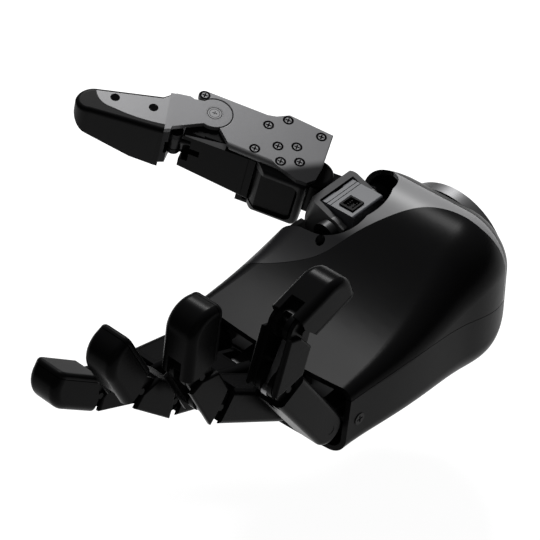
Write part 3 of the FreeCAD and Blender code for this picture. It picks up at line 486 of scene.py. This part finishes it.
class HAND_OT_thumb(Operator):
    """Grey thumb plates with painted shade on the fork and side plate, painted shade marks, dark tip screws
    and a painted highlight facet, black actuator and bracket, and the soft thumb pad
    """

    bl_idname = "hand.thumb"
    bl_label = "Thumb"

    def execute(self, context):
        plate = finish("bead_blasted_plate", tones().plate, specular=0.2, **PLATE_FEEL)
        dress(("tip_inlay", "pivot_pin", "plate_screws"), plate)
        # Painted shade: the fork turns dark below its top face, standing in for its shaded underside.
        inward = -THUMB_AXES[2]
        face = inward.dot(THUMB_START)
        depth = (inward, *(face + step for step in FORK_PAINTED_SHADE))
        fork = finish("fork_plate", tones().plate, specular=0.05, painted_shade=depth, **PLATE_FEEL)
        dress(("tip_fork",), fork)
        # Painted shade: the side plate darkens away from the bend screws, standing in for the shading of a
        # larger rolled end than the solid has.
        roll = thumb_direction(-ROLL_SHADE_LEAN, math.sqrt(1.0 - ROLL_SHADE_LEAN * ROLL_SHADE_LEAN))
        middle = roll.dot(thumb_point(*BEND_SPOT, 0.0))
        bend = (roll, *(middle + step for step in ROLL_PAINTED_SHADE))
        roll_shaded_plate = finish("plate_painted_roll_shade", tones().plate, specular=0.05, painted_shade=bend, **PLATE_FEEL)
        dress(("side_plate",), roll_shaded_plate)
        add_thumb_marks()
        dress(("actuator_cap", "actuator_body", "thumb_hub", "bend_strap", "root_motor"), satin_black())
        dress(("root_bracket",), finish("black_bracket", tones().works, roughness=0.34, specular=0.1))
        pad = finish("soft_thumb_pad", tones().pad, roughness=0.42, **PAD_FEEL)
        dress(("thumb_pad",), pad)
        pins = finish("blackened_pin", tones().works, roughness=0.35, specular=0.1)
        dress(("push_rod", "eye_pin", "bend_pin"), pins)
        return {"FINISHED"}


class HAND_OT_works(Operator):
    """Inner frame, motors, board, thumb yoke, wrist flange and the side screw"""

    bl_idname = "hand.works"
    bl_label = "Inner works"

    def execute(self, context):
        dark = finish("dark_frame", tones().works, roughness=0.42, spread=0.08, metallic=0.5)
        dress(("palm_frame", "turn_pins"), dark)
        dress(("thumb_yoke",), finish("grey_yoke", tones().yoke, roughness=0.4, specular=0.12))
        dress(("turn_motor",), finish("motor_can", tones().motor, roughness=0.4, specular=0.2))
        steel = finish("motor_steel", tones().steel, roughness=0.32, spread=0.06, metallic=0.9)
        dress(("finger_motors",), steel)
        dress(("turn_connector",), finish("black_connector", tones().shell, roughness=0.5, specular=0.05))
        dress(("control_board",), finish("green_board", tones().board, roughness=0.45))
        dress(("wrist_flange",), finish("flange_metal", tones().flange, roughness=0.4, metallic=0.6))
        dress(("side_screw",), finish("side_screw_black", tones().shell, roughness=0.3, specular=0.05))
        return {"FINISHED"}


def view_axes():
    """Camera axes from turn, rise and roll: right, up and backwards."""
    sizes = stage_sizes()
    turn = math.radians(sizes.view_turn)
    rise = math.radians(sizes.view_rise)
    roll = math.radians(sizes.view_roll)
    back = Vector((math.cos(rise) * math.sin(turn), -math.cos(rise) * math.cos(turn), math.sin(rise)))
    right = Vector((-back.y, back.x, 0.0)).normalized()
    up = back.cross(right).normalized()
    turned = right * math.cos(roll) + up * math.sin(roll)
    return turned, back.cross(turned).normalized(), back


def add_camera():
    """Camera at the photograph's viewing angle, its lens from the picture scale at the hand."""
    sizes = stage_sizes()
    right, up, back = view_axes()
    data = bpy.data.cameras.new("photo_camera")
    data.sensor_width = SENSOR_WIDTH
    data.lens = sizes.view_scale * sizes.view_distance / PHOTO_PIXELS * data.sensor_width
    data.clip_start = NEAR_CLIP
    data.clip_end = FAR_CLIP
    camera = bpy.data.objects.new("photo_camera", data)
    place = Matrix((right, up, back)).transposed().to_4x4()
    place.translation = Vector(sizes.view_target) + back * sizes.view_distance
    camera.matrix_world = place
    bpy.context.scene.collection.objects.link(camera)
    bpy.context.scene.camera = camera


def add_lamp(name, offset, size, power):
    """Square soft lamp that looks back at the target from its offset."""
    target = Vector(stage_sizes().view_target)
    data = bpy.data.lights.new(name, "AREA")
    data.shape = "SQUARE"
    data.size = size
    data.energy = power
    lamp = bpy.data.objects.new(name, data)
    lamp.location = target + Vector(offset)
    lamp.rotation_euler = (-Vector(offset)).to_track_quat("-Z", "Y").to_euler()
    bpy.context.scene.collection.objects.link(lamp)


def floor_material():
    """Pale floor that camera, mirror and glass rays see as nearly white."""
    sizes = stage_sizes()
    material = bpy.data.materials.new("pale_floor")
    material.use_nodes = True
    tree = material.node_tree
    shader = tree.nodes["Principled BSDF"]
    shader.inputs["Base Color"].default_value = opaque([sizes.floor_base] * 3)
    shader.inputs["Roughness"].default_value = 0.9
    rays = tree.nodes.new("ShaderNodeLightPath").outputs
    either = math_node(tree, "MAXIMUM", rays["Is Camera Ray"], rays["Is Glossy Ray"])
    clear = math_node(tree, "MAXIMUM", either, rays["Is Transmission Ray"])
    shader.inputs["Emission Color"].default_value = opaque([1.0] * 3)
    tree.links.new(math_node(tree, "MULTIPLY", clear, sizes.floor_tone), shader.inputs["Emission Strength"])
    return material


def add_floor():
    """Flat grid under the hand, side to side and front to back in equal steps."""
    sizes = stage_sizes()
    low = min(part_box(name)[0].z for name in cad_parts) - sizes.floor_drop
    steps = np.linspace(-FLOOR_HALF, FLOOR_HALF, FLOOR_LINES)
    across, along = np.meshgrid(steps, steps)
    points = np.stack([across.ravel(), along.ravel(), np.full(across.size, low)], 1)
    floor = mesh_piece("floor", points, grid_faces(steps.size, steps.size))
    floor.data.materials.append(floor_material())


def grid_faces(rows, columns, wrap=False):
    """Four-sided faces of a grid of points, row by row; wrap joins the last column to the first."""
    index = np.arange(rows * columns).reshape(rows, columns)
    beside = np.roll(index, -1, 1) if wrap else index[:, 1:]
    here = index if wrap else index[:, :-1]
    return np.stack([here[:-1], beside[:-1], beside[1:], here[1:]], -1).reshape(-1, 4)


def mesh_piece(name, points, faces):
    """New object in the scene from points and faces."""
    mesh = bpy.data.meshes.new(name)
    mesh.from_pydata(points.tolist(), [], faces.tolist())
    mesh.shade_smooth()
    piece = bpy.data.objects.new(name, mesh)
    bpy.context.scene.collection.objects.link(piece)
    return piece


def set_world():
    """Even light from all sides, and white where the camera looks past the floor."""
    world = bpy.data.worlds.new("studio")
    world.use_nodes = True
    tree = world.node_tree
    even = tree.nodes["Background"]
    even.inputs["Color"].default_value = opaque([1.0] * 3)
    rays = tree.nodes.new("ShaderNodeLightPath")
    level = tree.nodes.new("ShaderNodeMapRange")
    level.inputs["To Min"].default_value = stage_sizes().world_tone
    level.inputs["To Max"].default_value = 1.0
    tree.links.new(rays.outputs["Is Camera Ray"], level.inputs["Value"])
    tree.links.new(level.outputs["Result"], even.inputs["Strength"])
    bpy.context.scene.world = world


class HAND_OT_stage(Operator):
    """Camera, soft lamps, pale floor and world"""

    bl_idname = "hand.stage"
    bl_label = "Stage"

    def execute(self, context):
        sizes = stage_sizes()
        add_camera()
        add_lamp("key_lamp", sizes.key_place, sizes.key_size, sizes.key_power)
        add_lamp("fill_lamp", sizes.fill_place, sizes.fill_size, sizes.fill_power)
        add_floor()
        set_world()
        context.scene.view_settings.view_transform = "Standard"
        return {"FINISHED"}


class HAND_PT_panel(Panel):
    """Steps that dress the hand"""

    bl_label = "Robot hand"
    bl_idname = "HAND_PT_panel"
    bl_space_type = "VIEW_3D"
    bl_region_type = "UI"
    bl_category = "Robot Hand"

    def draw(self, context):
        for operator in OPERATORS:
            self.layout.operator(operator.bl_idname)


OPERATORS = (HAND_OT_shells, HAND_OT_fingers, HAND_OT_thumb, HAND_OT_works, HAND_OT_stage)
CLASSES = (StageSizes, FinishTones) + OPERATORS + (HAND_PT_panel,)


def register():
    """Adds the classes and the settings on the scene."""
    for cls in CLASSES:
        bpy.utils.register_class(cls)
    bpy.types.Scene.hand_stage = PointerProperty(type=StageSizes)
    bpy.types.Scene.hand_tones = PointerProperty(type=FinishTones)


def unregister():
    """Takes the classes and settings away again."""
    del bpy.types.Scene.hand_tones
    del bpy.types.Scene.hand_stage
    for cls in reversed(CLASSES):
        bpy.utils.unregister_class(cls)


def main():
    """Dresses the hand."""
    register()
    bpy.ops.hand.shells()
    bpy.ops.hand.fingers()
    bpy.ops.hand.thumb()
    bpy.ops.hand.works()
    bpy.ops.hand.stage()


if __name__ == "__main__":
    main()
